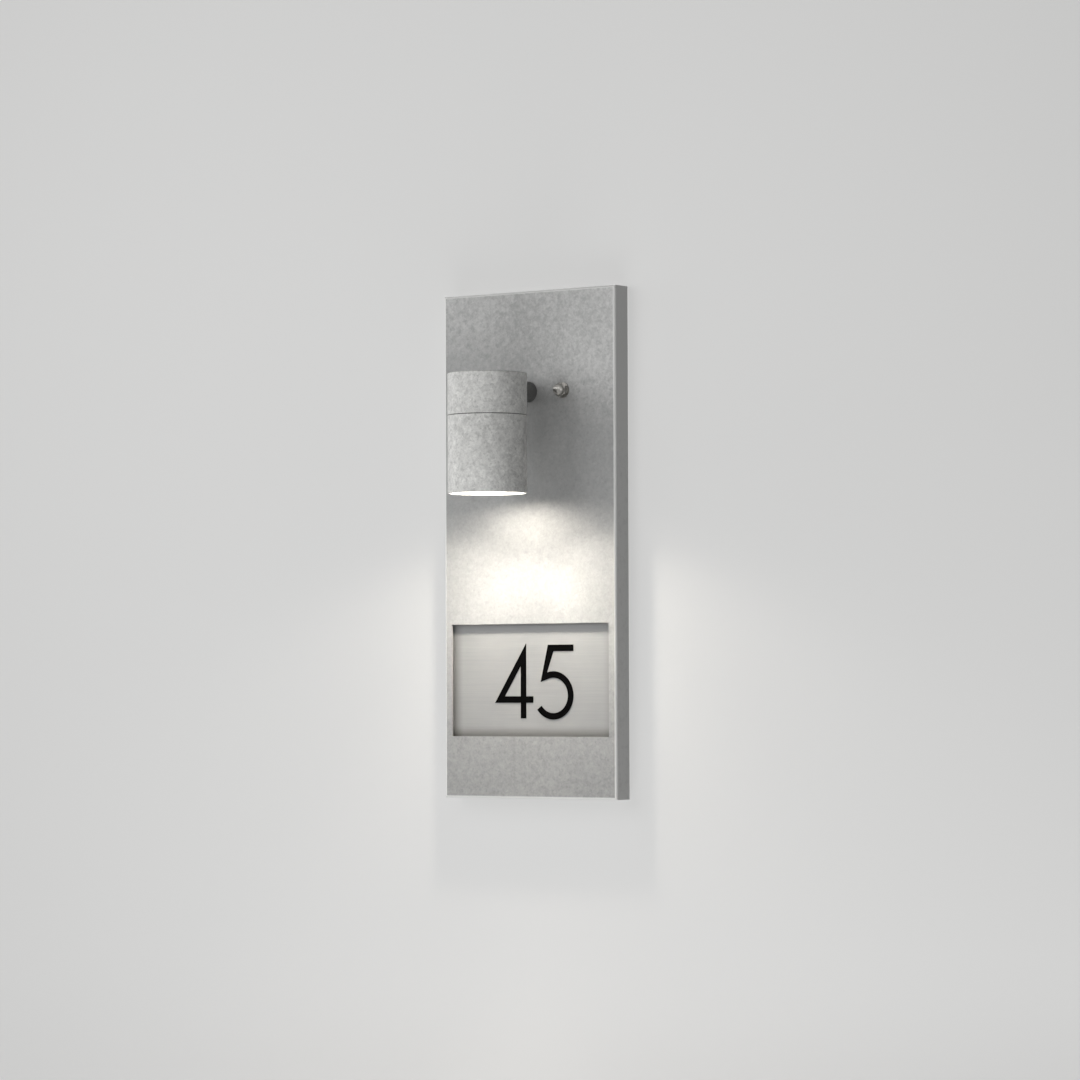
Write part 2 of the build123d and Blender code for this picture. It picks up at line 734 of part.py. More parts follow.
# Holder bracket: strip folded to a hat section, spot-welded under the roof of the cap
web_level = holder_top + holder_sheet / 2
foot_level = roof - holder_sheet / 2
leg_x = holder_length / 2 + holder_sheet / 2
with BuildPart() as holder_bracket:
    with BuildSketch(lamp_plane):
        with BuildLine():
            FilletPolyline(
                (-leg_x - holder_foot, foot_level),
                (-leg_x, foot_level),
                (-leg_x, web_level),
                (leg_x, web_level),
                (leg_x, foot_level),
                (leg_x + holder_foot, foot_level),
                radius=holder_bend,
            )
        trace(line_width=holder_sheet)
    extrude(amount=holder_strip / 2, both=True)
    with BuildSketch(Plane.XY.offset(holder_top)):
        with Locations((0, -lamp_depth)):
            with GridLocations(holder_screw_spacing, 0, 2, 1):
                Circle(holder_screw_diameter / 2 + slide_fit)
    extrude(amount=holder_sheet, mode=Mode.SUBTRACT)
holder_bracket.part.label = "holder_bracket"
export_step(holder_bracket.part, "parts/holder_bracket.step")

# Holder screws: pan-head screws up through the holder into the bracket
screw_seat = bulb_seat + holder_screw_sunk
with BuildPart() as holder_screws:
    with BuildSketch(Plane.XY.offset(screw_seat)):
        with Locations((0, -lamp_depth)):
            with GridLocations(holder_screw_spacing, 0, 2, 1):
                Circle(holder_screw_head / 2)
    extrude(amount=-holder_screw_head_height)
    with BuildSketch(Plane.XY.offset(screw_seat)):
        with Locations((0, -lamp_depth)):
            with GridLocations(holder_screw_spacing, 0, 2, 1):
                Circle(holder_screw_diameter / 2)
    extrude(amount=holder_top + 2 * holder_sheet - screw_seat)
holder_screws.part.label = "holder_screws"
export_step(holder_screws.part, "parts/holder_screws.step")

# Terminal block: insulating strip with a bore for each brass insert and holes for the clamp screws
with BuildPart() as terminal_block:
    with BuildSketch(wall.offset(plate_inner)):
        with Locations((0, block_middle)):
            Rectangle(pole_pitch * (pole_count - 1) + 2 * block_end, block_width)
    extrude(amount=-block_depth)
    chamfer(terminal_block.faces().sort_by(Axis.Y)[-1].edges(), length=block_edge)
    with BuildSketch(Plane.XY.offset(-block_drop)):
        with Locations((0, -insert_depth)):
            with GridLocations(pole_pitch, 0, pole_count, 1):
                Circle(insert_diameter / 2 + slide_fit)
    extrude(amount=-block_width, mode=Mode.SUBTRACT)
    with BuildSketch(wall.offset(block_face)):
        with Locations((0, block_middle)):
            with GridLocations(pole_pitch, clamp_screw_spacing, pole_count, 2):
                Circle(clamp_screw_diameter / 2 + hole_fit)
    extrude(amount=insert_depth - block_face, mode=Mode.SUBTRACT)
    with BuildSketch(wall.offset(block_face)):
        with Locations((pole_pitch / 2, block_middle)):
            Circle(terminal_stud_diameter / 2 + slide_fit)
    extrude(amount=block_depth, mode=Mode.SUBTRACT)
terminal_block.part.label = "terminal_block"
export_step(terminal_block.part, "parts/terminal_block.step")

# Terminal inserts: brass tubes tapped for two clamp screws each
with BuildPart() as terminal_inserts:
    with BuildSketch(Plane.XY.offset(block_middle + insert_length / 2)):
        with Locations((0, -insert_depth)):
            with GridLocations(pole_pitch, 0, pole_count, 1):
                Circle(insert_diameter / 2)
                Circle(insert_bore / 2, mode=Mode.SUBTRACT)
    extrude(amount=-insert_length)
    with BuildSketch(wall.offset(block_face)):
        with Locations((0, block_middle)):
            with GridLocations(pole_pitch, clamp_screw_spacing, pole_count, 2):
                Circle(clamp_screw_diameter / 2 + curve_gap)
    extrude(amount=insert_depth - block_face, mode=Mode.SUBTRACT)
terminal_inserts.part.label = "terminal_inserts"
export_step(terminal_inserts.part, "parts/terminal_inserts.step")

# Terminal screws: slotted clamp screws that reach into the inserts' bores
clamp_screw_top = block_face + clamp_screw_sunk
clamp_screw_tip = insert_depth - insert_bore / 2
with BuildPart() as terminal_screws:
    with BuildSketch(wall.offset(clamp_screw_top)):
        with Locations((0, block_middle)):
            with GridLocations(pole_pitch, clamp_screw_spacing, pole_count, 2):
                Circle(clamp_screw_diameter / 2)
    extrude(amount=clamp_screw_tip - clamp_screw_top)
    with BuildSketch(wall.offset(clamp_screw_top)):
        with Locations((0, block_middle)):
            with GridLocations(pole_pitch, clamp_screw_spacing, pole_count, 2):
                Rectangle(clamp_screw_diameter, clamp_screw_slot)
    extrude(amount=clamp_screw_slot, mode=Mode.SUBTRACT)
terminal_screws.part.label = "terminal_screws"
export_step(terminal_screws.part, "parts/terminal_screws.step")

# Terminal stud: welded to the plate, through the block
with BuildPart() as terminal_stud:
    with BuildSketch(wall.offset(plate_inner)):
        with Locations((pole_pitch / 2, block_middle)):
            Circle(terminal_stud_diameter / 2)
    extrude(amount=-block_depth - terminal_nut_thick - terminal_stud_spare)
terminal_stud.part.label = "terminal_stud"
export_step(terminal_stud.part, "parts/terminal_stud.step")

# Terminal nut: holds the block on its stud
with BuildPart() as terminal_nut:
    with BuildSketch(wall.offset(block_face)):
        with Locations((pole_pitch / 2, block_middle)):
            RegularPolygon(terminal_nut_flats / 2, hex_sides, major_radius=False)
            Circle(terminal_stud_diameter / 2 + slide_fit, mode=Mode.SUBTRACT)
    extrude(amount=-terminal_nut_thick)
terminal_nut.part.label = "terminal_nut"
export_step(terminal_nut.part, "parts/terminal_nut.step")

# Earth stud: welded to the plate
with BuildPart() as earth_stud:
    with BuildSketch(wall.offset(plate_inner)):
        with Locations((earth_x, -earth_drop)):
            Circle(earth_stud_diameter / 2)
    extrude(amount=-earth_stud_length)
earth_stud.part.label = "earth_stud"
export_step(earth_stud.part, "parts/earth_stud.step")

# Earth lug: ring and tab pressed from sheet, with a crimped barrel for the earth lead
barrel_depth = plate_inner - lug_barrel_diameter / 2 - curve_gap
barrel_inner_end = earth_x - lug_barrel_start
barrel_outer_end = barrel_inner_end - lug_barrel_length
with BuildPart() as earth_lug:
    with BuildSketch(wall.offset(plate_inner)):
        with Locations((earth_x, -earth_drop)):
            Circle(lug_diameter / 2)
            Rectangle(lug_barrel_start + lug_sheet, lug_tab, align=(Align.MAX, Align.CENTER))
            Circle(earth_stud_diameter / 2 + slide_fit, mode=Mode.SUBTRACT)
    extrude(amount=-lug_sheet)
    with BuildSketch(Plane.YZ.offset(barrel_outer_end)):
        with Locations((-barrel_depth, -earth_drop)):
            Circle(lug_barrel_diameter / 2)
    extrude(amount=lug_barrel_length)
    with BuildSketch(Plane.YZ.offset(barrel_outer_end)):
        with Locations((-barrel_depth, -earth_drop)):
            Circle(lead_diameter / 2 + slide_fit)
    extrude(amount=lug_barrel_length, mode=Mode.SUBTRACT)
earth_lug.part.label = "earth_lug"
export_step(earth_lug.part, "parts/earth_lug.step")

# Earth nut: clamps the lug on its stud
with BuildPart() as earth_nut:
    with BuildSketch(wall.offset(plate_inner - lug_sheet)):
        with Locations((earth_x, -earth_drop)):
            RegularPolygon(earth_nut_flats / 2, hex_sides, major_radius=False)
            Circle(earth_stud_diameter / 2 + slide_fit, mode=Mode.SUBTRACT)
    extrude(amount=-earth_nut_thick)
earth_nut.part.label = "earth_nut"
export_step(earth_nut.part, "parts/earth_nut.step")

# Live and neutral leads: from the lampholder through the nipple and down to the outer poles
pole_x = pole_pitch * (pole_count - 1) / 2
lead_end = -block_drop - lead_entry
holder_lead_depth = lamp_depth + holder_lead_offset
for lead_name, side in (("live_lead", -1), ("neutral_lead", 1)):
    with BuildPart() as lamp_lead:
        with BuildLine() as lamp_route:
            FilletPolyline(
                (side * pin_spacing / 2, -holder_lead_depth, holder_top - lead_entry),
                (side * pin_spacing / 2, -holder_lead_depth, lead_rise),
                (side * lead_spread, -nipple_front - nipple_end, lead_rise),
                (side * lead_spread, -lead_wall_gap, lead_rise),
                (side * lead_spread, -lead_wall_gap, -lead_turn_drop),
                (side * pole_x, -insert_depth, lead_join_rise - block_drop),
                (side * pole_x, -insert_depth, lead_end),
                radius=[
                    lead_holder_radius,
                    lead_neck_radius,
                    lead_back_radius,
                    lead_fan_radius,
                    lead_join_radius,
                ],
            )
        with BuildSketch(Plane(origin=lamp_route.line @ 0, z_dir=lamp_route.line % 0)):
            Circle(lead_diameter / 2)
        sweep(path=lamp_route.line)
    lamp_lead.part.label = lead_name
    export_step(lamp_lead.part, f"parts/{lead_name}.step")

# Earth lead: from the lug's barrel to the middle pole
with BuildPart() as earth_lead:
    with BuildLine() as earth_route:
        FilletPolyline(
            (barrel_inner_end, -barrel_depth, -earth_drop),
            (barrel_outer_end - earth_lead_run, -barrel_depth, -earth_drop),
            (0, -insert_depth, -earth_drop),
            (0, -insert_depth, lead_end),
            radius=[earth_lead_radius, earth_lead_turn],
        )
    with BuildSketch(Plane(origin=earth_route.line @ 0, z_dir=earth_route.line % 0)):
        Circle(lead_diameter / 2)
    sweep(path=earth_route.line)
earth_lead.part.label = "earth_lead"
export_step(earth_lead.part, "parts/earth_lead.step")
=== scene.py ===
import math

import bpy
from mathutils import Matrix, Vector


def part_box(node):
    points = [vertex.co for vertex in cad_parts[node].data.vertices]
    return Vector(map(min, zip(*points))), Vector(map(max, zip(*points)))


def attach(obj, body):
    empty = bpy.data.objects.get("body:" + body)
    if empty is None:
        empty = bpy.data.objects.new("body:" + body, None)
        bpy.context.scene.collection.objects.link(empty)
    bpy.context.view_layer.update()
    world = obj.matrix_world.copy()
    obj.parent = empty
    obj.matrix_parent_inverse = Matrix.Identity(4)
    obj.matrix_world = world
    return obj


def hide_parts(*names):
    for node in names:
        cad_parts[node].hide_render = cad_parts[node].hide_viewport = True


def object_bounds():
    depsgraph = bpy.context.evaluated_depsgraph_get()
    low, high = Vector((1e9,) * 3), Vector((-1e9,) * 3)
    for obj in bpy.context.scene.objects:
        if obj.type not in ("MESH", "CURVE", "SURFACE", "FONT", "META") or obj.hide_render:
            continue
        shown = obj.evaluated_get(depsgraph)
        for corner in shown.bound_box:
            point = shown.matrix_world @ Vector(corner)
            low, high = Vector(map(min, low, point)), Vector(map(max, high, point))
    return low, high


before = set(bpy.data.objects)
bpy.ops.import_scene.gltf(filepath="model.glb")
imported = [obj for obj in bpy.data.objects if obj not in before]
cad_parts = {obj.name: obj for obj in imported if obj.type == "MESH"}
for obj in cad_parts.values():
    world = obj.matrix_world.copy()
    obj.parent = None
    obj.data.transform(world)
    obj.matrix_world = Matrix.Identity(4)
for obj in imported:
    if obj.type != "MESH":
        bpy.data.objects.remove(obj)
cad_low, cad_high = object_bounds()
scene = bpy.context.scene
scene.view_settings.view_transform = "Standard"

# Front plate: one steel sheet folded into a shallow tray, with the number window cut in its face.
# The folded tray is hot-dip galvanised, which leaves a dull grey skin mottled with small zinc crystals.
# Two cap nuts clamp it to a bracket on the wall.


class Shade:
    """One socket of a finish's nodes, which can be used in sums like a number."""

    def __init__(self, tree, socket=None):
        self.tree = tree
        self.socket = socket

    def wire(self, node, sockets):
        for key, value in sockets.items():
            if isinstance(value, Shade):
                self.tree.links.new(value.socket, node.inputs[key])
            else:
                node.inputs[key].default_value = value

    def node(self, kind, settings, sockets, out=0):
        made = self.tree.nodes.new(kind)
        for name, value in settings.items():
            setattr(made, name, value)
        self.wire(made, sockets)
        return Shade(self.tree, made.outputs[out])

    def math(self, operation, *others):
        return self.node("ShaderNodeMath", {"operation": operation}, dict(enumerate((self, *others))))

    def __add__(self, other):
        return self.math("ADD", other)

    def __sub__(self, other):
        return self.math("SUBTRACT", other)

    def __rsub__(self, other):
        return self * -1 + other

    def __mul__(self, other):
        return self.math("MULTIPLY", other)

    def __truediv__(self, other):
        return self.math("DIVIDE", other)

    def __abs__(self):
        return self.math("ABSOLUTE")

    __radd__ = __add__
    __rmul__ = __mul__

    def held(self):
        """The value kept between 0 and 1."""
        return self.node("ShaderNodeClamp", {}, {"Value": self})

    def step(self, low, high):
        """Rises smoothly from 0 at low to 1 at high."""
        return self.node(
            "ShaderNodeMapRange",
            {"interpolation_type": "SMOOTHSTEP"},
            {"Value": self, "From Min": low, "From Max": high},
        )

    def blend(self, first, second):
        """A colour that goes from first to second as this value goes from 0 to 1."""
        mixed = {0: self, 6: first, 7: second}
        return self.node("ShaderNodeMix", {"data_type": "RGBA"}, mixed, 2)

    def axis(self, name):
        return self.node("ShaderNodeSeparateXYZ", {}, {"Vector": self}, name)

    def noise(self, size, detail=3.0, roughness=0.55, out="Fac"):
        """Cloudy noise with blotches about as wide as size, in metres."""
        sockets = {"Vector": self, "Scale": 1 / size, "Detail": detail, "Roughness": roughness}
        return self.node("ShaderNodeTexNoise", {}, sockets, out)

    def crystals(self, size):
        """A grey of its own for each crystal, about as wide as size, in metres."""
        cells = self.node("ShaderNodeTexVoronoi", {}, {"Vector": self, "Scale": 1 / size}, "Color")
        return self.node("ShaderNodeSeparateColor", {}, {"Color": cells}, "Red")

    def stretched(self, scale):
        """The same place, squeezed along each axis, for a grain that runs one way."""
        return self.node("ShaderNodeMapping", {}, {"Vector": self, "Scale": scale})

    def pushed(self, other, amount):
        """The same place, shaken by another colour pattern, so that edges wander."""
        shake = {0: other, 1: (amount, amount, amount), 2: self}
        return self.node("ShaderNodeVectorMath", {"operation": "MULTIPLY_ADD"}, shake)

    def relief(self, depth):
        """A surface normal from this height, where 1 stands depth metres proud."""
        sockets = {"Height": self, "Distance": depth, "Strength": 1.0}
        return self.node("ShaderNodeBump", {}, sockets)


def paint(red, green, blue):
    """A colour written as it shows on a screen, from 0 to 255."""
    shares = [level / 255 for level in (red, green, blue)]
    linear = [s / 12.92 if s <= 0.04045 else ((s + 0.055) / 1.055) ** 2.4 for s in shares]
    return (*linear, 1.0)


def new_finish(name):
    """An empty material, its shader, and the place on the piece that patterns are drawn from."""
    material = bpy.data.materials.new(name)
    material.use_nodes = True
    place = Shade(material.node_tree).node("ShaderNodeTexCoord", {}, {}, "Object")
    return material, material.node_tree.nodes["Principled BSDF"], place


def dress(material, *nodes):
    for node in nodes:
        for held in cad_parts[node].material_slots:
            held.material = material


# Pale zinc for the folds, and for the painted highlight at the top of the plate.
pale_fold_and_highlight_zinc = paint(234, 234, 232)


def galvanised(name, dull_zinc, bright_zinc, mottling, plate_skin=None):
    """Zinc skin: clouds, crystals a few millimetres wide, and fine flecks between them."""
    material, shader, place = new_finish(name)
    wander = place.noise(size=0.006, out="Color")
    crystal = place.pushed(wander, amount=0.004).crystals(size=0.0042)
    grain = place.pushed(wander, amount=0.002).crystals(size=0.0015)
    cloud = place.noise(size=0.045, detail=2.0)
    blotch = place.noise(size=0.0045, detail=4.0, roughness=0.62)
    fleck = place.noise(size=0.0017, detail=2.0)
    pattern = (
        (cloud - 0.5) * 0.5
        + (blotch - 0.5) * 1.1
        + (crystal - 0.5) * 0.28
        + (grain - 0.5) * 0.25
        + fleck.step(0.58, 0.72) * 0.25
        - fleck.step(0.44, 0.3) * 0.3
    )
    rough = 0.6 + (crystal - 0.5) * 0.12 - (blotch - 0.5) * 0.2
    if plate_skin:
        pattern, rough, folds_and_top_highlight = plate_skin(place, pattern, rough)
    colour = (0.5 + pattern * mottling).held().blend(dull_zinc, bright_zinc)
    if plate_skin:
        # Lighter along the folds, with a painted highlight towards the top of the plate.
        colour = (folds_and_top_highlight * (0.6 + blotch * 0.8)).held().blend(colour, pale_fold_and_highlight_zinc)
    height = blotch * 0.5 + grain * 0.2 + fleck * 0.3
    place.wire(
        shader,
        {
            "Base Color": colour,
            "Roughness": rough,
            "Metallic": 0.05,
            "Specular IOR Level": 0.25,
            "Normal": height.relief(depth=0.00006),
        },
    )
    return material


plate_low, plate_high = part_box("front_plate")
plate_fold = 0.002
top_start = plate_high.z - 0.10
top_end = plate_high.z - 0.02
foot_start = plate_low.z + 0.13
highlight_tilt = 0.35
top_highlight = 0.3
foot_darkening = 0.22


def plate_skin_with_highlight(place, pattern, rough):
    """Lighter and smoother along the folds, a painted highlight towards one top corner, and darker towards
    the foot.
    """
    half_width = plate_high.x - plate_fold
    middle = (plate_low.z + plate_high.z) / 2
    half_height = (plate_high.z - plate_low.z) / 2 - plate_fold
    forward = ((plate_low.y + plate_fold - place.axis("Y")) / plate_fold).held()
    sideways = ((abs(place.axis("X")) - half_width) / plate_fold).held()
    endways = ((abs(place.axis("Z") - middle) - half_height) / plate_fold).held()
    turned = sideways.step(0.5, 1.0) + endways.step(0.5, 1.0)
    # Painted highlight: the plate is lighter towards the top, most of all at one top corner.
    top = (place.axis("Z") + place.axis("X") * highlight_tilt).step(top_start, top_end)
    foot = place.axis("Z").step(foot_start, plate_low.z)
    folds_and_top_highlight = forward * (sideways + endways) * 3 + turned + top * top_highlight
    # Darker towards the foot.
    pattern = pattern * (0.35 + top + foot * 0.1) - foot * foot_darkening
    return pattern, rough - folds_and_top_highlight * 0.12, folds_and_top_highlight


plate_material = galvanised(
    "galvanised_plate", paint(142, 143, 143), paint(188, 188, 187), mottling=1.2, plate_skin=plate_skin_with_highlight
)
dress(plate_material, "front_plate")

# Number panel: a flat satin sheet behind the window, held off the plate by four spacers.
# Aluminium, brushed along its length and left bare. Painted shade darkens it along the edges of the recess.
panel_low, panel_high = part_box("number_panel")
panel_side_lap = 0.003
panel_end_lap = 0.010
recess_shade_width = 0.009
panel_brush = 0.0006
panel_material, panel_shader, panel_place = new_finish("satin_panel")
brushed = panel_place.stretched((0.012, 1.0, 1.0)).noise(size=panel_brush, detail=4.0, roughness=0.7)
panel_cloud = panel_place.noise(size=0.03, detail=2.0)
panel_tone = (0.5 + (brushed - 0.5) * 0.8 + (panel_cloud - 0.5) * 0.5).held()
bare_panel = panel_tone.blend(paint(145, 146, 146), paint(167, 167, 166))
recess_shade_grey = paint(88, 87, 84)
from_left = panel_place.axis("X") - (panel_low.x + panel_side_lap)
from_right = panel_high.x - panel_side_lap - panel_place.axis("X")
from_foot = panel_place.axis("Z") - (panel_low.z + panel_end_lap)
at_front = panel_place.axis("Y").step((panel_low.y + panel_high.y) / 2, panel_low.y)
# Painted shade: darker along the left, the foot and, more faintly, the right of the recess, on the front face
# only.
recess_shaded_edges = (
    from_left.step(recess_shade_width, 0.0)
    + from_foot.step(recess_shade_width, 0.0)
    + from_right.step(recess_shade_width, 0.0) * 0.5
)
recess_shade = (recess_shaded_edges * at_front * (0.38 + panel_cloud * 0.24)).held()
panel_place.wire(
    panel_shader,
    {
        "Base Color": recess_shade.blend(bare_panel, recess_shade_grey),
        "Roughness": 0.55 + (brushed - 0.5) * 0.25,
        "Metallic": 0.05,
        "Specular IOR Level": 0.25,
        "Normal": brushed.relief(depth=0.00002),
    },
)
dress(panel_material, "number_panel")

# Numerals: a four and a five cut from black film and stuck to the panel.
# The film is matt, with a faint orange peel.
film_material, film_shader, film_place = new_finish("numeral_black")
peel = film_place.noise(size=0.0009, detail=2.0)
film_cloud = film_place.noise(size=0.012, detail=3.0)
film_place.wire(
    film_shader,
    {
        "Base Color": film_cloud.blend(paint(4, 4, 4), paint(10, 10, 10)),
        "Roughness": 0.6 + (film_cloud - 0.5) * 0.2,
        "Specular IOR Level": 0.015,
        "Normal": peel.relief(depth=0.00003),
    },
)
dress(film_material, "numeral_four", "numeral_five")

# Panel studs: four threaded studs welded to the back of the plate, which carry the number panel.
# Zinc-plated steel, with the thread cut over the whole length.


def zinc_plated(name):
    """Bright zinc plating: bluish, with a faint straw tint and soft dull patches."""
    material, shader, place = new_finish(name)
    patch = place.noise(size=0.004, detail=3.0)
    scratch = place.noise(size=0.0007, detail=3.0, roughness=0.7)
    tint = (0.5 + (patch - 0.5) * 1.8).held()
    place.wire(
        shader,
        {
            "Base Color": tint.blend(paint(186, 192, 198), paint(206, 203, 190)),
            "Roughness": 0.4 + (patch - 0.5) * 0.14 + (scratch - 0.5) * 0.08,
            "Metallic": 0.85,
            "Normal": scratch.relief(depth=0.000004),
        },
    )
    return material


zinc_material = zinc_plated("zinc_plate")


def alone(piece):
    """Makes a piece the only selected and the active one."""
    bpy.ops.object.select_all(action="DESELECT")
    piece.select_set(True)
    bpy.context.view_layer.objects.active = piece


def apply_modifier(piece, kind, **settings):
    alone(piece)
    bpy.ops.object.modifier_add(type=kind)
    modifier = piece.modifiers[-1]
    for name, value in settings.items():
        setattr(modifier, name, value)
    bpy.ops.object.modifier_apply(modifier=modifier.name)


def cut_with(piece, tool, operation):
    """A boolean with another piece, which is used up."""
    apply_modifier(piece, "BOOLEAN", object=tool, operation=operation, solver="EXACT")
    bpy.data.objects.remove(tool)


def set_place(piece):
    """Puts a piece's place, turn and scale into its mesh."""
    alone(piece)
    bpy.ops.object.transform_apply(location=True, rotation=True, scale=True)


def edit_only(piece, kind, test):
    """Opens a piece for editing, with only those parts selected whose corners pass a test."""
    alone(piece)
    bpy.ops.object.mode_set(mode="EDIT")
    bpy.ops.mesh.select_mode(type=kind)
    bpy.ops.mesh.select_all(action="DESELECT")
    bpy.ops.object.mode_set(mode="OBJECT")
    corners = piece.data.vertices
    if kind == "VERT":
        for corner in corners:
            corner.select = test([corner.co])
    if kind == "EDGE":
        for line in piece.data.edges:
            line.select = test([corners[end].co for end in line.vertices])
    bpy.ops.object.mode_set(mode="EDIT")


def edit_all(piece):
    alone(piece)
    bpy.ops.object.mode_set(mode="EDIT")
    bpy.ops.mesh.select_all(action="SELECT")


def close_edit():
    bpy.ops.object.mode_set(mode="OBJECT")


def round_bar(radius, low, high, edge, vertices=32):
    """A bar along Z from low to high with chamfered ends."""
    bpy.ops.object.select_all(action="DESELECT")
    bpy.ops.mesh.primitive_cylinder_add(
        vertices=vertices, radius=radius, depth=high - low, location=(0, 0, (low + high) / 2)
    )
    bar = bpy.context.object
    set_place(bar)
    edit_only(bar, "EDGE", lambda ends: abs(ends[0].z - ends[1].z) < edge)
    bpy.ops.mesh.bevel(offset=edge, segments=1, affect="EDGES")
    close_edit()
    return bar


thread_depth_share = 0.54


def threaded_bar(name, diameter, pitch, low, high, chamfer, steps=24):
    """A bar along Z with a cut thread: one turn of the groove is wound up and trimmed to length."""
    depth = thread_depth_share * pitch
    root = diameter / 2 - depth
    turns = math.ceil((high - low) / pitch) + 3
    crest = low - 1.5 * pitch
    bpy.ops.object.select_all(action="DESELECT")
    bpy.ops.mesh.primitive_plane_add(size=pitch, rotation=(math.pi / 2, 0, 0))
    bar = bpy.context.object
    bar.name = name
    set_place(bar)
    edit_only(bar, "VERT", lambda spot: spot[0].x < 0)
    bpy.ops.mesh.delete(type="VERT")
    bpy.ops.mesh.select_all(action="SELECT")
    bpy.ops.mesh.subdivide(number_cuts=1)
    bpy.ops.transform.translate(value=(root - pitch / 2, 0, crest))
    close_edit()
    edit_only(bar, "VERT", lambda spot: abs(spot[0].z - crest) < pitch / 4)
    bpy.ops.transform.translate(value=(depth, 0, 0))
    close_edit()
    apply_modifier(
        bar, "SCREW", axis="Z", screw_offset=pitch, iterations=turns,
        steps=steps, render_steps=steps, use_merge_vertices=True, merge_threshold=pitch / 1000,
    )
    for level, keep_above in ((low - pitch / 4, True), (high + pitch / 4, False)):
        edit_all(bar)
        bpy.ops.mesh.remove_doubles(threshold=pitch / 1000)
        bpy.ops.mesh.bisect(
            plane_co=(0, 0, level), plane_no=(0, 0, 1), use_fill=True,
            clear_inner=keep_above, clear_outer=not keep_above,
        )
        close_edit()
    edit_all(bar)
    bpy.ops.mesh.normals_make_consistent(inside=False)
    close_edit()
    cut_with(bar, round_bar(diameter / 2 + pitch / 20, low, high, chamfer), "INTERSECT")
    return bar


def lay_along_y(piece, places):
    """Turns a piece from Z to the depth of the light, repeats it at each (x, z) and joins the copies."""
    name = piece.name
    copies = []
    for x, z in places:
        copy = bpy.data.objects.new(name, piece.data.copy())
        scene.collection.objects.link(copy)
        copy.matrix_world = Matrix.Translation((x, 0, z)) @ Matrix.Rotation(math.pi / 2, 4, "X")
        copies.append(copy)
    bpy.data.objects.remove(piece)
    bpy.context.view_layer.update()
    alone(copies[0])
    for copy in copies:
        copy.select_set(True)
    bpy.ops.object.join()
    joined = copies[0]
    joined.name = name
    set_place(joined)
    bpy.ops.object.shade_smooth_by_angle(angle=math.radians(35))
    return joined


def stand_in(piece, node, material):
    """A modelled piece takes the place of a plain solid."""
    piece.data.materials.clear()
    piece.data.materials.append(material)
    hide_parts(node)
    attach(piece, "root")


def corner_places(node, inset):
    """The x and z of four like pieces that stand at the corners of a node's box."""
    low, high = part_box(node)
    return [(x, z) for x in (low.x + inset, high.x - inset) for z in (low.z + inset, high.z - inset)]


def row_places(node, inset):
    """The x and z of two like pieces, side by side in a node's box."""
    low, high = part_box(node)
    return [(x, (low.z + high.z) / 2) for x in (low.x + inset, high.x - inset)]


def depth_span(node):
    """How far from the wall a node starts and ends."""
    low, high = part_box(node)
    return -high.y, -low.y


small_thread = 0.003
small_pitch = 0.0005
thread_chamfer = 0.0004
panel_stud = threaded_bar(
    "panel_stud_threads", small_thread, small_pitch, *depth_span("panel_studs"), thread_chamfer
)
panel_stud = lay_along_y(panel_stud, corner_places("panel_studs", small_thread / 2))
stand_in(panel_stud, "panel_studs", zinc_material)

# Panel spacers and nuts: turned nylon rings keep the panel off the plate, flange nuts hold it.
# The nuts are zinc-plated steel, and the rings are the same cream nylon as the connector strip.


def cream_nylon(name):
    """Moulded nylon: faint flow marks and a soft gloss."""
    material, shader, place = new_finish(name)
    flow = place.stretched((1.0, 1.0, 0.35)).noise(size=0.006, detail=3.0)
    grain = place.noise(size=0.0006, detail=2.0)
    place.wire(
        shader,
        {
            "Base Color": flow.blend(paint(214, 206, 182), paint(236, 230, 210)),
            "Roughness": 0.42 + (flow - 0.5) * 0.2,
            "Normal": grain.relief(depth=0.00002),
        },
    )
    return material


nylon_material = cream_nylon("cream_nylon")
dress(nylon_material, "panel_spacers")
dress(zinc_material, "panel_nuts")

# Wall bracket: a steel strip screwed to the wall through two slots, which takes the whole weight.
# Zinc-plated after punching.
dress(zinc_material, "wall_bracket")

# Bracket studs: two threaded studs with flush heads, pressed into the bracket from behind.
# They reach through the plate into the cap nuts.
stud_thread = 0.006
stud_pitch = 0.001
stud_head = 0.0009
stud_head_radius = 0.0045
stud_start, stud_end = depth_span("bracket_studs")
bracket_stud = threaded_bar(
    "bracket_stud_threads", stud_thread, stud_pitch, stud_start, stud_end, thread_chamfer
)
cut_with(
    bracket_stud,
    round_bar(stud_head_radius, stud_start, stud_start + stud_head, stud_head / 6),
    "UNION",
)
bracket_stud = lay_along_y(bracket_stud, row_places("bracket_studs", stud_head_radius))
stand_in(bracket_stud, "bracket_studs", zinc_material)

# Cap nuts and washers: domed nuts on flat washers, the only fixings that show at the front.
# Stainless steel, turned, and dulled by the weather.
steel_material, steel_shader, steel_place = new_finish("stainless")
smear = steel_place.noise(size=0.003, detail=3.0)
turning = steel_place.stretched((1.0, 9.0, 1.0)).noise(size=0.0009, detail=2.0)
steel_place.wire(
    steel_shader,
    {
        "Base Color": smear.blend(paint(138, 136, 132), paint(172, 170, 166)),
        "Roughness": 0.3 + (smear - 0.5) * 0.2 + (turning - 0.5) * 0.1,
        "Metallic": 1.0,
        "Normal": turning.relief(depth=0.00001),
    },
)
dress(steel_material, "cap_nuts", "cap_nut_washers")

# Arm: a short steel tube between plate and lamp head, coped at the front to the round of the head.
# Galvanised, with its zinc painted darker than the head's as painted shade.
shaded_arm_material = galvanised("galvanised_arm_painted_shade", paint(82, 82, 81), paint(114, 114, 113), mottling=0.8)
dress(shaded_arm_material, "arm_tube")

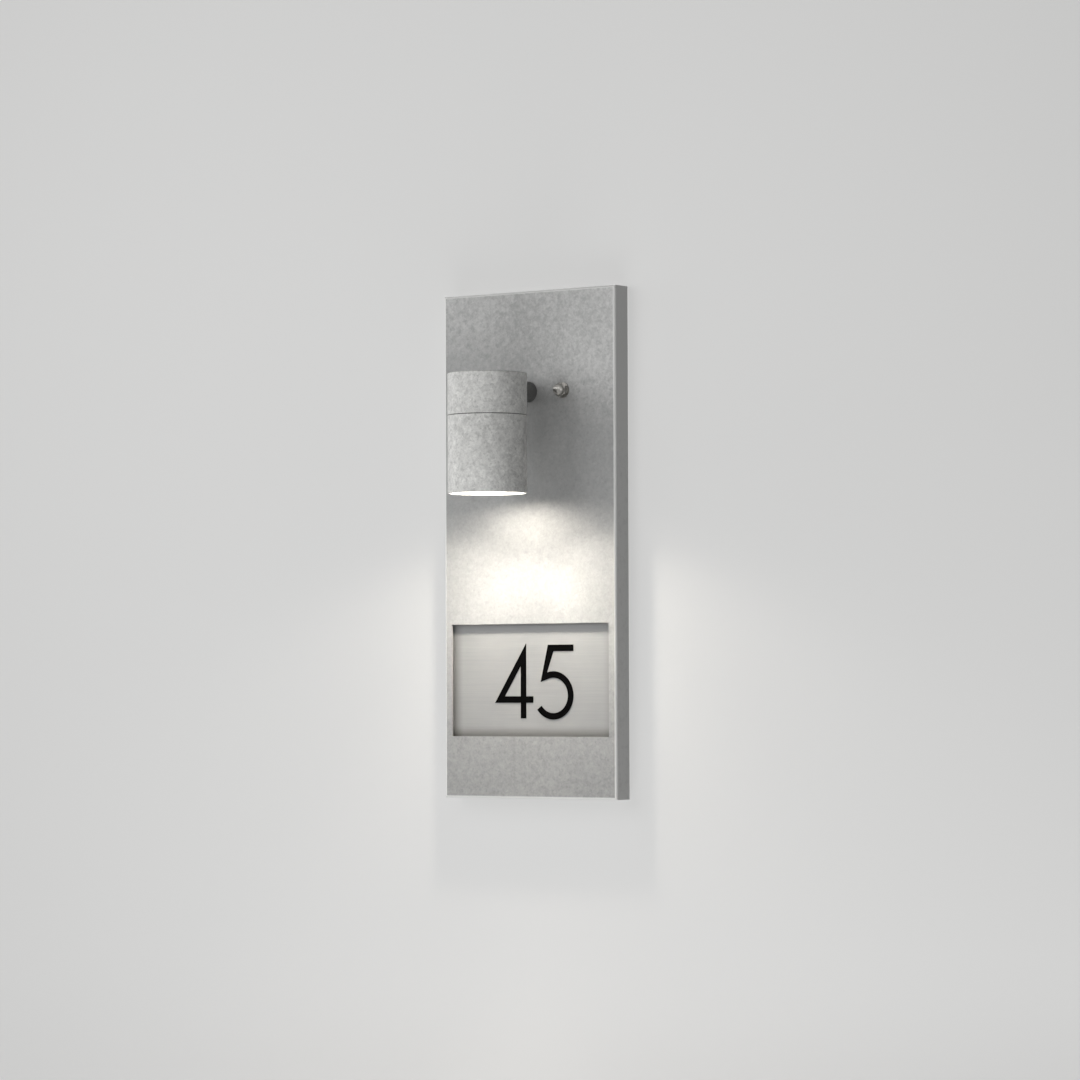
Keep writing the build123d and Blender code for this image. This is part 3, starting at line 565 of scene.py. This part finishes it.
# Arm nipple: the hollow threaded tube that clamps head, arm and plate together and carries the leads.
# Zinc-plated steel, with a fine thread.
nipple_thread = 0.010
nipple_pitch = 0.001
nipple_bore = 0.007
bore_spare = 0.002
nipple_start, nipple_end = depth_span("arm_nipple")
nipple = threaded_bar(
    "arm_nipple_thread", nipple_thread, nipple_pitch, nipple_start, nipple_end, thread_chamfer, steps=36
)
bore = round_bar(nipple_bore / 2, nipple_start - bore_spare, nipple_end + bore_spare, thread_chamfer)
cut_with(nipple, bore, "DIFFERENCE")
nipple = lay_along_y(nipple, [(0, 0)])
stand_in(nipple, "arm_nipple", zinc_material)

# Arm nuts and washers: a tooth washer bites the plate, a saddle washer beds in the round of the cap.
# The nuts and tooth washer are zinc-plated, and the saddle is cast aluminium.


def cast_aluminium(name):
    """Cast and lightly blasted: an even grey with a fine sandy surface."""
    material, shader, place = new_finish(name)
    sand = place.noise(size=0.0005, detail=3.0, roughness=0.65)
    tone = place.noise(size=0.009, detail=3.0)
    place.wire(
        shader,
        {
            "Base Color": tone.blend(paint(168, 169, 170), paint(198, 198, 198)),
            "Roughness": 0.48 + (sand - 0.5) * 0.3,
            "Metallic": 0.8,
            "Normal": sand.relief(depth=0.00005),
        },
    )
    return material


cast_material = cast_aluminium("cast_aluminium")
dress(zinc_material, "tooth_washer", "rear_arm_nut", "front_arm_nut")
dress(cast_material, "saddle_washer")

# Lamp head: a drawn cap, closed at the top, and an open shade under it with a fine seam between.
# Both are steel, galvanised together, and their zinc is painted brighter than the plate's as painted light.
lit_head_material = galvanised("galvanised_head_painted_light", paint(180, 180, 178), paint(240, 240, 237), mottling=1.0)
dress(lit_head_material, "lamp_cap", "lamp_shade")

# Joint ring and seal: the ring is pressed into the cap, and the shade slides over it and its rubber seal.
# The ring is turned from cast aluminium and painted near-black as painted shade, so that the seam shows as a
# fine dark line.
# A grub screw at the back locks the shade.
rubber_material, rubber_shader, rubber_place = new_finish("black_rubber")
bloom = rubber_place.noise(size=0.004, detail=4.0)
pore = rubber_place.noise(size=0.0004, detail=2.0)
rubber_place.wire(
    rubber_shader,
    {
        "Base Color": bloom.blend(paint(18, 18, 18), paint(38, 38, 39)),
        "Roughness": 0.66 + (bloom - 0.5) * 0.2,
        "Normal": pore.relief(depth=0.00003),
    },
)
# Painted shade: the ring is near-black so that the narrow seam in front of it reads dark.
seam_shade_material, seam_shade_shader, seam_shade_place = new_finish("aluminium_painted_seam_shade")
etched = seam_shade_place.noise(size=0.0008, detail=3.0)
seam_shade_place.wire(
    seam_shade_shader,
    {
        "Base Color": etched.blend(paint(16, 16, 17), paint(30, 30, 31)),
        "Roughness": 0.5 + (etched - 0.5) * 0.2,
        "Metallic": 0.3,
        "Normal": etched.relief(depth=0.00002),
    },
)
dress(seam_shade_material, "joint_ring")
dress(rubber_material, "shade_seal")
dress(zinc_material, "shade_grub_screw")

# Lens ring, gasket and glass: the ring is pressed into the mouth of the shade and carries the glass.
# Clear hardened glass, bonded to a soft silicone gasket.
silicone_material, silicone_shader, silicone_place = new_finish("clear_silicone")
haze = silicone_place.noise(size=0.003, detail=3.0)
silicone_place.wire(
    silicone_shader,
    {
        "Base Color": haze.blend(paint(206, 208, 206), paint(232, 233, 230)),
        "Roughness": 0.36 + (haze - 0.5) * 0.2,
    },
)
glass_material, glass_shader, glass_place = new_finish("front_glass")
smudge = glass_place.noise(size=0.012, detail=4.0)
glass_place.wire(
    glass_shader,
    {
        "Base Color": paint(236, 242, 240),
        "Roughness": 0.03 + smudge.step(0.5, 0.8) * 0.08,
        "Alpha": 0.13 + smudge.step(0.5, 0.8) * 0.04,
    },
)
dress(cast_material, "lens_ring")
dress(silicone_material, "lens_gasket")
dress(glass_material, "lens_glass")

# Reflector lamp: a sealed lamp with a white moulded body, twist-locked into the holder above it.
# Its face is a lens plate moulded with many small domes, lit from behind.
body_material, body_shader, body_place = new_finish("lamp_body")
body_flow = body_place.noise(size=0.008, detail=3.0)
body_place.wire(
    body_shader,
    {
        "Base Color": body_flow.blend(paint(214, 214, 210), paint(232, 232, 229)),
        "Roughness": 0.4 + (body_flow - 0.5) * 0.2,
    },
)
dress(body_material, "reflector_lamp")

lamp_low, lamp_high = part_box("reflector_lamp")
lamp_axis = Vector(((lamp_low.x + lamp_high.x) / 2, (lamp_low.y + lamp_high.y) / 2))
lens_recess = 0.001
lens_gap = 0.0002
lens_radius = 0.0208
bright_core = lens_radius / 4
dome_pitch = 0.0030
dome_height = 0.0005
dome_radius = (dome_pitch ** 2 / 3 + dome_height ** 2) / (2 * dome_height)
lens_back = lamp_low.z + lens_recess - lens_gap
dome_foot = lamp_low.z + dome_height + lens_gap

bpy.ops.object.select_all(action="DESELECT")
bpy.ops.mesh.primitive_uv_sphere_add(
    segments=12, ring_count=48, radius=dome_radius, location=(0, 0, dome_radius - dome_height)
)
dome = bpy.context.object
set_place(dome)
edit_all(dome)
bpy.ops.mesh.bisect(plane_co=(0, 0, 0), plane_no=(0, 0, 1), clear_outer=True)
close_edit()

bpy.ops.object.select_all(action="DESELECT")
bpy.ops.mesh.primitive_cylinder_add(
    vertices=96, radius=lens_radius, depth=lens_back - dome_foot,
    location=(lamp_axis.x, lamp_axis.y, (lens_back + dome_foot) / 2),
)
lens_plate = bpy.context.object
lens_plate.name = "lamp_lens"
set_place(lens_plate)
domes = []
row_pitch = dome_pitch * math.sqrt(3) / 2
rows = int(lens_radius / row_pitch)
for row in range(-rows, rows + 1):
    columns = int(lens_radius / dome_pitch) + 1
    for column in range(-columns, columns + 1):
        spot = Vector(((column + row % 2 / 2) * dome_pitch, row * row_pitch))
        if spot.length + dome_pitch / math.sqrt(3) < lens_radius:
            copy = bpy.data.objects.new("dome", dome.data.copy())
            scene.collection.objects.link(copy)
            copy.location = (lamp_axis.x + spot.x, lamp_axis.y + spot.y, dome_foot)
            domes.append(copy)
bpy.data.objects.remove(dome)
bpy.context.view_layer.update()
alone(lens_plate)
for copy in domes:
    copy.select_set(True)
bpy.ops.object.join()
set_place(lens_plate)
bpy.ops.object.shade_smooth_by_angle(angle=math.radians(30))

lens_material, lens_shader, lens_place = new_finish("lamp_lens")
aside = lens_place.axis("X") - lamp_axis.x
ahead = lens_place.axis("Y") - lamp_axis.y
out_from_middle = (aside * aside + ahead * ahead).math("SQRT")
glow = out_from_middle.step(lens_radius, bright_core)
lens_place.wire(
    lens_shader,
    {
        "Base Color": glow.blend(paint(206, 204, 198), paint(232, 230, 224)),
        "Roughness": 0.22,
        "Emission Color": glow.blend(paint(196, 180, 150), paint(255, 247, 228)),
        "Emission Strength": 0.9,
    },
)
lens_plate.data.materials.clear()
lens_plate.data.materials.append(lens_material)
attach(lens_plate, "root")

# Lampholder: a pressed ceramic block that takes the lamp's two pins, hung from a folded strip in the cap.
# The block is glazed white, and the strip and its two screws are zinc-plated steel.
ceramic_material, ceramic_shader, ceramic_place = new_finish("ceramic")
glaze = ceramic_place.noise(size=0.007, detail=3.0)
speck = ceramic_place.noise(size=0.0008, detail=2.0).step(0.68, 0.76)
ceramic_tone = (glaze - speck * 0.6).held()
ceramic_place.wire(
    ceramic_shader,
    {
        "Base Color": ceramic_tone.blend(paint(196, 190, 180), paint(230, 226, 218)),
        "Roughness": 0.3 + (glaze - 0.5) * 0.25,
        "Normal": glaze.relief(depth=0.00004),
    },
)
dress(ceramic_material, "lampholder")
dress(zinc_material, "holder_bracket", "holder_screws")

# Connector strip: a three-pole block on a stud behind the plate, where the supply is joined on.
# Nylon, with a brass tube and two zinc-plated clamp screws for each pole.
brass_material, brass_shader, brass_place = new_finish("brass")
tarnish = brass_place.noise(size=0.004, detail=4.0)
brass_place.wire(
    brass_shader,
    {
        "Base Color": tarnish.blend(paint(176, 140, 74), paint(222, 190, 116)),
        "Roughness": 0.3 + (tarnish - 0.5) * 0.3,
        "Metallic": 1.0,
    },
)
dress(nylon_material, "terminal_block")
dress(brass_material, "terminal_inserts")
dress(zinc_material, "terminal_screws", "terminal_nut")
terminal_stud = threaded_bar(
    "terminal_stud_thread", small_thread, small_pitch, *depth_span("terminal_stud"), thread_chamfer
)
terminal_stud = lay_along_y(terminal_stud, row_places("terminal_stud", small_thread / 2)[:1])
stand_in(terminal_stud, "terminal_stud", zinc_material)

# Earth point: a stud welded to the plate, with a nut that clamps the earth lead's lug.
# The stud and nut are zinc-plated, and the lug is pressed from brass.
earth_thread = 0.004
earth_pitch = 0.0007
earth_stud = threaded_bar(
    "earth_stud_thread", earth_thread, earth_pitch, *depth_span("earth_stud"), thread_chamfer
)
earth_stud = lay_along_y(earth_stud, row_places("earth_stud", earth_thread / 2)[:1])
stand_in(earth_stud, "earth_stud", zinc_material)
dress(zinc_material, "earth_nut")
dress(brass_material, "earth_lug")

# Inner leads: live and neutral run from the lampholder through the nipple, and earth from its lug.
# Stranded copper in a plain coloured sleeve, with two colours in bands on the earth lead.


def sleeve(name, deep, pale, band_width=None):
    """Extruded sleeve: fine draw lines and a soft gloss, with its colours in bands where a width is given."""
    material, shader, place = new_finish(name)
    drawn = place.noise(size=0.0012, detail=3.0)
    tint = drawn
    if band_width:
        along = place.axis("X") + place.axis("Y") + place.axis("Z")
        tint = (along / band_width).math("PINGPONG", 1.0).step(0.45, 0.55)
    place.wire(
        shader,
        {
            "Base Color": tint.blend(deep, pale),
            "Roughness": 0.38 + (drawn - 0.5) * 0.2,
            "Normal": drawn.relief(depth=0.00002),
        },
    )
    return material


dress(sleeve("brown_lead", paint(74, 42, 24), paint(104, 64, 40)), "live_lead")
dress(sleeve("blue_lead", paint(26, 70, 140), paint(50, 100, 176)), "neutral_lead")
earth_sleeve = sleeve("earth_lead", paint(34, 112, 52), paint(226, 200, 44), band_width=0.0022)
dress(earth_sleeve, "earth_lead")

# Backdrop: a plain pale wall behind the light that runs down into a floor in one sweep.
# It is seen from its front only, so that the back of the light can be looked at too.
wall_gap = 0.0004
wall_half = 3.0
wall_top = 2.4
floor_drop = 0.62
sweep_radius = 0.2
bpy.ops.object.select_all(action="DESELECT")
bpy.ops.mesh.primitive_plane_add(size=2 * wall_half, rotation=(math.pi / 2, 0, 0))
backdrop = bpy.context.object
backdrop.name = "backdrop"
backdrop.location = (0, wall_gap, wall_top - wall_half)
set_place(backdrop)
floor_level = -floor_drop


def at_foot(ends):
    """An edge along the foot of the wall."""
    return all(end.z < floor_level + wall_gap and end.y > -wall_gap for end in ends)


edit_all(backdrop)
bpy.ops.mesh.bisect(plane_co=(0, 0, floor_level), plane_no=(0, 0, 1), clear_inner=True)
close_edit()
edit_only(backdrop, "EDGE", at_foot)
bpy.ops.mesh.extrude_region_move(TRANSFORM_OT_translate={"value": (0, -2 * wall_half, 0)})
close_edit()
edit_only(backdrop, "EDGE", at_foot)
bpy.ops.mesh.bevel(offset=sweep_radius, segments=12, affect="EDGES")
close_edit()
bpy.ops.object.shade_smooth()


def ray_is(shade, *kinds):
    """1 for a ray of one of these kinds, and 0 for any other."""
    found = sum(shade.node("ShaderNodeLightPath", {}, {}, f"Is {kind} Ray") for kind in kinds)
    return found.held()


wall_material, wall_shader, wall_place = new_finish("backdrop")
wall_place.wire(
    wall_shader,
    {
        "Base Color": paint(150, 150, 150),
        "Roughness": 0.9,
        "Specular IOR Level": 0.0,
        "Emission Color": paint(176, 176, 175),
        "Emission Strength": 1.0,
    },
)
wall_tree = wall_material.node_tree
behind = wall_place.node("ShaderNodeNewGeometry", {}, {}, "Backfacing")
shown = ray_is(wall_place, "Camera", "Glossy", "Transmission") * (1 - behind)
clear = wall_place.node("ShaderNodeBsdfTransparent", {}, {})
mixed = wall_place.node(
    "ShaderNodeMixShader", {}, {0: shown, 1: clear, 2: Shade(wall_tree, wall_shader.outputs[0])}
)
wall_tree.links.new(mixed.socket, wall_tree.nodes["Material Output"].inputs["Surface"])
backdrop.data.materials.append(wall_material)

# Studio light: a soft key box in front, above and at the left, and a small one above at the right.
# Boxes below, at both sides and behind fill in, and the dim surround lets the shadows keep their depth.
light_target = (cad_low + cad_high) / 2
fill = 0.02


def soft_box(name, turn, rise, distance, size, watts):
    """A square soft box that looks at the light, turned from straight ahead and raised, in degrees."""
    turn, rise = math.radians(turn), math.radians(rise)
    away = Vector((math.sin(turn) * math.cos(rise), -math.cos(turn) * math.cos(rise), math.sin(rise)))
    bpy.ops.object.light_add(type="AREA", location=light_target + away * distance)
    lamp = bpy.context.object
    lamp.name = name
    lamp.rotation_euler = away.to_track_quat("Z", "Y").to_euler()
    lamp.data.size = size
    lamp.data.energy = watts
    lamp.visible_camera = False


soft_box("key_box", turn=-28, rise=20, distance=1.0, size=0.7, watts=3.9)
soft_box("near_box", turn=30, rise=38, distance=0.7, size=0.3, watts=0.42)
soft_box("low_box", turn=0, rise=-62, distance=1.3, size=0.7, watts=5)
soft_box("under_box", turn=0, rise=-35, distance=1.0, size=0.8, watts=1.55)
soft_box("low_right_box", turn=45, rise=-45, distance=1.3, size=0.6, watts=2.8)
soft_box("left_box", turn=-85, rise=10, distance=2.2, size=1.4, watts=16)
soft_box("right_box", turn=75, rise=5, distance=2.2, size=1.0, watts=4.1)
soft_box("back_box", turn=207, rise=25, distance=2.4, size=1.6, watts=50)

world = bpy.data.worlds.new("surround")
scene.world = world
world.use_nodes = True
air = Shade(world.node_tree)
seen = ray_is(air, "Camera", "Glossy", "Transmission")
air.wire(
    world.node_tree.nodes["Background"],
    {"Color": seen.blend((fill, fill, fill, 1.0), paint(232, 232, 231)), "Strength": 1.0},
)

# Lamp light: what the reflector lamp throws down through the glass, cut off by the rim of the shade.
# A wide glow makes the soft edge on the plate, and three cones spread the beam over its whole width.
lamp_white = (1.0, 0.93, 0.82)
lamp_gap = 0.0008
glass_gap = 0.0004
lamp_face = lamp_low.z - lamp_gap
glass_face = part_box("lens_glass")[0].z - glass_gap
glow_width = 0.048
beam_softness = lens_radius / 2


def lamp_light(name, kind, height, watts):
    """A light on the lamp's axis that shines straight down and can't be seen itself."""
    bpy.ops.object.light_add(type=kind, location=(lamp_axis.x, lamp_axis.y, height))
    made = bpy.context.object
    made.name = name
    made.data.energy = watts
    made.data.color = lamp_white
    made.visible_camera = False
    return made.data


lamp_glow = lamp_light("lamp_glow", "AREA", glass_face, watts=0.175)
lamp_glow.shape = "DISK"
lamp_glow.size = glow_width


def lamp_spot(name, lean, cone, blend, watts):
    """A cone of light from the lamp's face, leaning sideways, with lean and cone in degrees."""
    spot = lamp_light(name, "SPOT", lamp_face, watts)
    spot.spot_size = math.radians(cone)
    spot.spot_blend = blend
    spot.shadow_soft_size = beam_softness
    bpy.context.object.rotation_euler = (0, math.radians(lean), 0)


lamp_spot("lamp_beam", lean=0, cone=100, blend=0.6, watts=1.6)
lamp_spot("lamp_left", lean=33, cone=96, blend=0.8, watts=2.2)
lamp_spot("lamp_right", lean=-33, cone=96, blend=0.8, watts=2.2)

# Camera: stands to the right of the light, a little under its middle, about three metres away.
# A long lens keeps the upright edges nearly parallel.
eye = Vector((1.71991, -2.48689, -0.22684))
look_turn = math.radians(34.694)
look_up = math.radians(2.1515)
camera_roll = math.radians(-0.198)
forward = Vector(
    (-math.sin(look_turn) * math.cos(look_up), math.cos(look_turn) * math.cos(look_up), math.sin(look_up))
)
level_right = Vector((math.cos(look_turn), math.sin(look_turn), 0))
level_up = level_right.cross(forward)
right = level_right * math.cos(camera_roll) + level_up * math.sin(camera_roll)
up = level_up * math.cos(camera_roll) - level_right * math.sin(camera_roll)
bpy.ops.object.camera_add(location=eye)
camera = bpy.context.object
camera.name = "camera"
camera.rotation_euler = Matrix((right, up, -forward)).transposed().to_euler()
camera.data.sensor_fit = "HORIZONTAL"
camera.data.sensor_width = 36
camera.data.lens = 130.79
camera.data.clip_end = 50
scene.camera = camera
